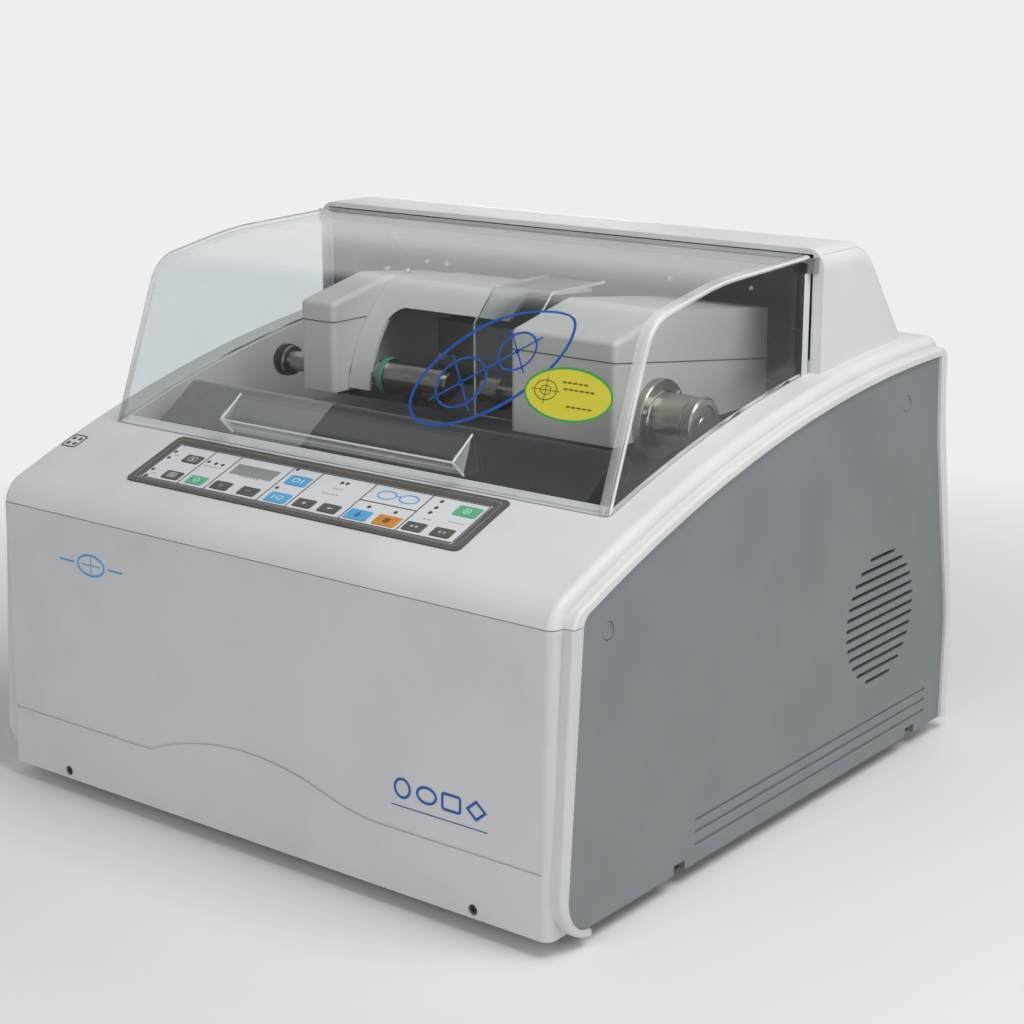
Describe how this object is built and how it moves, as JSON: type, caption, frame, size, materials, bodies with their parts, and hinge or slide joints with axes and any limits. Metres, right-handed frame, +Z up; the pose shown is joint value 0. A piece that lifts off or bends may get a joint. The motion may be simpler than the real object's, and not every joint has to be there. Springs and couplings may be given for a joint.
{
  "type": "optical lens edger",
  "caption": "Bench lens edger with a clear hinged cover over a clamping, rotating lens head above grinding wheels, in a rounded white and grey case.",
  "frame": {"origin": "on the table, under the middle of the case", "axes": "+X to the right across the front, +Y from the front to the rear, +Z up"},
  "size_m": [0.54, 0.54, 0.417],
  "materials": {
    "base_steel": "satin",
    "foot_rubber": "matte",
    "panel_light_grey": "satin",
    "casing_white": "satin",
    "side_grey": "satin",
    "screw_steel": "satin",
    "bezel_dark": "matte",
    "overlay_grey": "matte",
    "display_glass": "gloss",
    "board_green": "satin",
    "deck_grey": "satin",
    "basin_dark": "matte",
    "guard_grey": "satin",
    "cast_iron": "matte",
    "motor_paint": "satin",
    "belt_rubber": "matte",
    "shaft_steel": "brushed",
    "fan_black": "matte",
    "supply_metal": "satin",
    "pipe_plastic": "matte",
    "clear_plastic": "gloss",
    "wheel_abrasive": "matte",
    "cast_aluminium": "cast",
    "head_beige": "satin",
    "knob_black": "satin",
    "key_dark": "matte",
    "key_green": "matte",
    "key_blue": "matte",
    "key_orange": "matte"
  },
  "bodies": {
    "base": {"base_plate": "base_steel", "rubber_feet": "foot_rubber", "front_panel": "panel_light_grey", "upper_casing": "casing_white", "side_panel_left": "side_grey", "side_panel_right": "side_grey", "rear_panel": "base_steel", "case_screws": "screw_steel", "keypad_bezel": "bezel_dark", "keypad_overlay": "overlay_grey", "display_window": "display_glass", "circuit_boards": "board_green", "inner_deck": "deck_grey", "grinding_basin": "basin_dark", "front_guard": "guard_grey", "spindle_housing": "cast_iron", "drive_motor": "motor_paint", "drive_belt": "belt_rubber", "guide_shaft": "shaft_steel", "cover_hinges": "shaft_steel", "fan_frame": "fan_black", "power_supply": "supply_metal", "mains_inlet": "fan_black", "water_pipes": "pipe_plastic"},
    "cover": {"clear_cover": "clear_plastic"},
    "slide": {"carriage_sleeve": "shaft_steel"},
    "head": {"head_casting": "cast_aluminium", "lens_motor": "motor_paint", "left_arm_cover": "head_beige", "left_arm_lid": "head_beige", "right_arm_cover": "head_beige", "right_arm_lid": "head_beige", "arch_cover": "head_beige", "splash_shield": "clear_plastic", "clamp_cylinder": "shaft_steel"},
    "lens_holder": {"lens_shaft": "shaft_steel", "pattern_knob": "knob_black"},
    "quill": {"clamp_quill": "shaft_steel"},
    "clamp": {"clamp_shaft": "shaft_steel"},
    "spindle": {"wheel_spindle": "shaft_steel", "rough_wheel": "wheel_abrasive", "bevel_wheel": "wheel_abrasive", "polish_wheel": "wheel_abrasive"},
    "motor_rotor": {"motor_pulley": "shaft_steel"},
    "fan": {"fan_rotor": "fan_black"},
    "mains_rocker": {"rocker_switch": "fan_black"},
    "key_mode_cap": {"key_mode": "key_dark"},
    "key_program_cap": {"key_program": "key_dark"},
    "key_start_left_cap": {"key_start_left": "key_green"},
    "key_size_plus_cap": {"key_size_plus": "key_dark"},
    "key_size_minus_cap": {"key_size_minus": "key_dark"},
    "key_lens_left_cap": {"key_lens_left": "key_blue"},
    "key_lens_right_cap": {"key_lens_right": "key_blue"},
    "key_bevel_front_cap": {"key_bevel_front": "key_dark"},
    "key_bevel_rear_cap": {"key_bevel_rear": "key_dark"},
    "key_water_cap": {"key_water": "key_blue"},
    "key_stop_cap": {"key_stop": "key_orange"},
    "key_clamp_cap": {"key_clamp": "key_dark"},
    "key_release_cap": {"key_release": "key_dark"},
    "key_start_cap": {"key_start": "key_green"}
  },
  "joints": [
    {"name": "cover_hinge", "type": "hinge", "parent": "base", "child": "cover", "pos_m": [0, 0.0755, 0.4084], "axis": [-1, 0, 0], "range_deg": [0, 72]},
    {"name": "head_slide", "type": "slide", "parent": "base", "child": "slide", "axis": [1, 0, 0], "range_m": [-0.045, 0.006]},
    {"name": "head_tilt", "type": "hinge", "parent": "slide", "child": "head", "pos_m": [0, 0.13, 0.29], "axis": [-1, 0, 0], "range_deg": [-7, 6]},
    {"name": "lens_spin", "type": "hinge", "parent": "head", "child": "lens_holder", "pos_m": [0, -0.0365, 0.3045], "axis": [1, 0, 0], "continuous": true},
    {"name": "quill_spin", "type": "hinge", "parent": "head", "child": "quill", "pos_m": [0, -0.0365, 0.3045], "axis": [1, 0, 0], "continuous": true},
    {"name": "clamp_slide", "type": "slide", "parent": "quill", "child": "clamp", "axis": [-1, 0, 0], "range_m": [0, 0.028]},
    {"name": "wheel_spin", "type": "hinge", "parent": "base", "child": "spindle", "pos_m": [0, -0.0365, 0.2165], "axis": [1, 0, 0], "continuous": true},
    {"name": "motor_spin", "type": "hinge", "parent": "base", "child": "motor_rotor", "pos_m": [0, 0.122, 0.096], "axis": [1, 0, 0], "continuous": true},
    {"name": "fan_spin", "type": "hinge", "parent": "base", "child": "fan", "pos_m": [0, 0.1495, 0.127], "axis": [1, 0, 0], "continuous": true},
    {"name": "rocker_pivot", "type": "hinge", "parent": "base", "child": "mains_rocker", "pos_m": [-0.09, 0.23, 0.07], "axis": [-1, 0, 0], "range_deg": [0, 16]},
    {"name": "key_mode_press", "type": "slide", "parent": "base", "child": "key_mode_cap", "axis": [0, 0.3462, -0.9382], "range_m": [0, 0.0004], "stiffness_N_per_m": 1500, "springref_m": -0.0001},
    {"name": "key_program_press", "type": "slide", "parent": "base", "child": "key_program_cap", "axis": [0, 0.3462, -0.9382], "range_m": [0, 0.0004], "stiffness_N_per_m": 1500, "springref_m": -0.0001},
    {"name": "key_start_left_press", "type": "slide", "parent": "base", "child": "key_start_left_cap", "axis": [0, 0.3462, -0.9382], "range_m": [0, 0.0004], "stiffness_N_per_m": 1500, "springref_m": -0.0001},
    {"name": "key_size_plus_press", "type": "slide", "parent": "base", "child": "key_size_plus_cap", "axis": [0, 0.3462, -0.9382], "range_m": [0, 0.0004], "stiffness_N_per_m": 1500, "springref_m": -0.0001},
    {"name": "key_size_minus_press", "type": "slide", "parent": "base", "child": "key_size_minus_cap", "axis": [0, 0.3462, -0.9382], "range_m": [0, 0.0004], "stiffness_N_per_m": 1500, "springref_m": -0.0001},
    {"name": "key_lens_left_press", "type": "slide", "parent": "base", "child": "key_lens_left_cap", "axis": [0, 0.3462, -0.9382], "range_m": [0, 0.0004], "stiffness_N_per_m": 1500, "springref_m": -0.0001},
    {"name": "key_lens_right_press", "type": "slide", "parent": "base", "child": "key_lens_right_cap", "axis": [0, 0.3462, -0.9382], "range_m": [0, 0.0004], "stiffness_N_per_m": 1500, "springref_m": -0.0001},
    {"name": "key_bevel_front_press", "type": "slide", "parent": "base", "child": "key_bevel_front_cap", "axis": [0, 0.3462, -0.9382], "range_m": [0, 0.0004], "stiffness_N_per_m": 1500, "springref_m": -0.0001},
    {"name": "key_bevel_rear_press", "type": "slide", "parent": "base", "child": "key_bevel_rear_cap", "axis": [0, 0.3462, -0.9382], "range_m": [0, 0.0004], "stiffness_N_per_m": 1500, "springref_m": -0.0001},
    {"name": "key_water_press", "type": "slide", "parent": "base", "child": "key_water_cap", "axis": [0, 0.3462, -0.9382], "range_m": [0, 0.0004], "stiffness_N_per_m": 1500, "springref_m": -0.0001},
    {"name": "key_stop_press", "type": "slide", "parent": "base", "child": "key_stop_cap", "axis": [0, 0.3462, -0.9382], "range_m": [0, 0.0004], "stiffness_N_per_m": 1500, "springref_m": -0.0001},
    {"name": "key_clamp_press", "type": "slide", "parent": "base", "child": "key_clamp_cap", "axis": [0, 0.3462, -0.9382], "range_m": [0, 0.0004], "stiffness_N_per_m": 1500, "springref_m": -0.0001},
    {"name": "key_release_press", "type": "slide", "parent": "base", "child": "key_release_cap", "axis": [0, 0.3462, -0.9382], "range_m": [0, 0.0004], "stiffness_N_per_m": 1500, "springref_m": -0.0001},
    {"name": "key_start_press", "type": "slide", "parent": "base", "child": "key_start_cap", "axis": [0, 0.3462, -0.9382], "range_m": [0, 0.0004], "stiffness_N_per_m": 1500, "springref_m": -0.0001}
  ],
  "couplings": [
    {"joint": "quill_spin", "follows": "lens_spin", "ratio": 1},
    {"joint": "motor_spin", "follows": "wheel_spin", "ratio": 0.60606}
  ]
}
